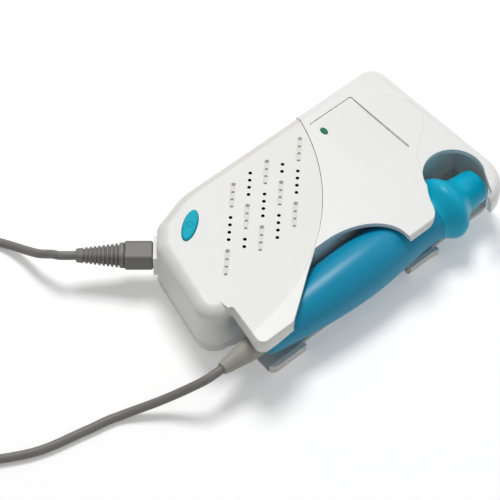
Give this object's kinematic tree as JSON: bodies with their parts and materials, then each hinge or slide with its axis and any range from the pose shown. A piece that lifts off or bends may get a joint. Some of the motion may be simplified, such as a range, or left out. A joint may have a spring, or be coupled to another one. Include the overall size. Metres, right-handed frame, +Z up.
{
  "type": "vascular doppler",
  "caption": "Pocket vascular doppler lying on its back: slanted white case with speaker grille, teal probe clipped in a side holder, grey lead with plug and stored coil.",
  "frame": {"origin": "middle of the unit's footprint on the surface it lies on, without the lead", "axes": "+X towards the probe holder, +Y towards the label end, +Z up out of the front face"},
  "size_m": [0.153, 0.2649, 0.031],
  "materials": {
    "rear_shell": "fine moulded texture",
    "front_shell": "satin moulded plastic",
    "top_cover": "satin moulded plastic",
    "label_panel": "satin film",
    "led_lens": "clear green lens",
    "power_button": "satin teal",
    "button_switch": "black",
    "main_board": "solder mask green",
    "speaker_basket": "pressed steel",
    "speaker_cone": "black film",
    "speaker_gasket": "foam",
    "headphone_jack": "black",
    "volume_wheel": "dark grey",
    "volume_pot": "resin",
    "probe_socket": "white",
    "battery_door": "fine moulded texture",
    "battery_cells": "printed wrap",
    "battery_contacts": "nickel",
    "housing_screws": "zinc",
    "probe_grip": "satin teal",
    "probe_head": "satin teal",
    "transducer_face": "epoxy",
    "crystals": "ceramic",
    "probe_board": "solder mask green",
    "probe_strain_relief": "warm grey",
    "plug_housing": "warm grey",
    "plug_boot": "warm grey",
    "plug_contacts": "gold plate",
    "cord_to_probe": "warm grey jacket",
    "cord_coil": "warm grey jacket",
    "cord_to_plug": "warm grey jacket"
  },
  "bodies": {
    "main_unit": {"rear_shell": "rear_shell", "front_shell": "front_shell", "top_cover": "top_cover", "label_panel": "label_panel", "led_lens": "led_lens", "button_switch": "button_switch", "main_board": "main_board", "speaker_basket": "speaker_basket", "speaker_cone": "speaker_cone", "speaker_gasket": "speaker_gasket", "headphone_jack": "headphone_jack", "volume_pot": "volume_pot", "probe_socket": "probe_socket", "battery_cells": "battery_cells", "battery_contacts": "battery_contacts", "housing_screws": "housing_screws", "cord_to_probe": "cord_to_probe", "cord_coil": "cord_coil", "cord_to_plug": "cord_to_plug"},
    "power_button": {"power_button": "power_button"},
    "volume_wheel": {"volume_wheel": "volume_wheel"},
    "battery_door": {"battery_door": "battery_door"},
    "probe": {"probe_grip": "probe_grip", "probe_head": "probe_head", "transducer_face": "transducer_face", "crystals": "crystals", "probe_board": "probe_board", "probe_strain_relief": "probe_strain_relief"},
    "plug": {"plug_housing": "plug_housing", "plug_boot": "plug_boot", "plug_contacts": "plug_contacts"}
  },
  "joints": [
    {"name": "power_button_press", "type": "slide", "parent": "main_unit", "child": "power_button", "axis": [0, 0, -1], "range_m": [0, 0.0008], "stiffness_N_per_m": 600, "springref_m": -0.0005},
    {"name": "volume_turn", "type": "hinge", "parent": "main_unit", "child": "volume_wheel", "pos_m": [-0.0355, 0.026, 0.015], "axis": [0, 0, 1], "range_deg": [-150, 150]},
    {"name": "battery_door_slide", "type": "slide", "parent": "main_unit", "child": "battery_door", "axis": [0, -1, 0], "range_m": [0, 0.05]},
    {"name": "probe_swing", "type": "hinge", "parent": "main_unit", "child": "probe", "pos_m": [0.027, 0.0485, 0.0166], "axis": [0, 0, 1], "range_deg": [0, 25], "deforming": ["cord_to_probe"]},
    {"name": "plug_pull", "type": "slide", "parent": "main_unit", "child": "plug", "axis": [-0.6561, -0.7547, 0], "range_m": [0, 0.0065], "deforming": ["cord_to_plug"]}
  ]
}
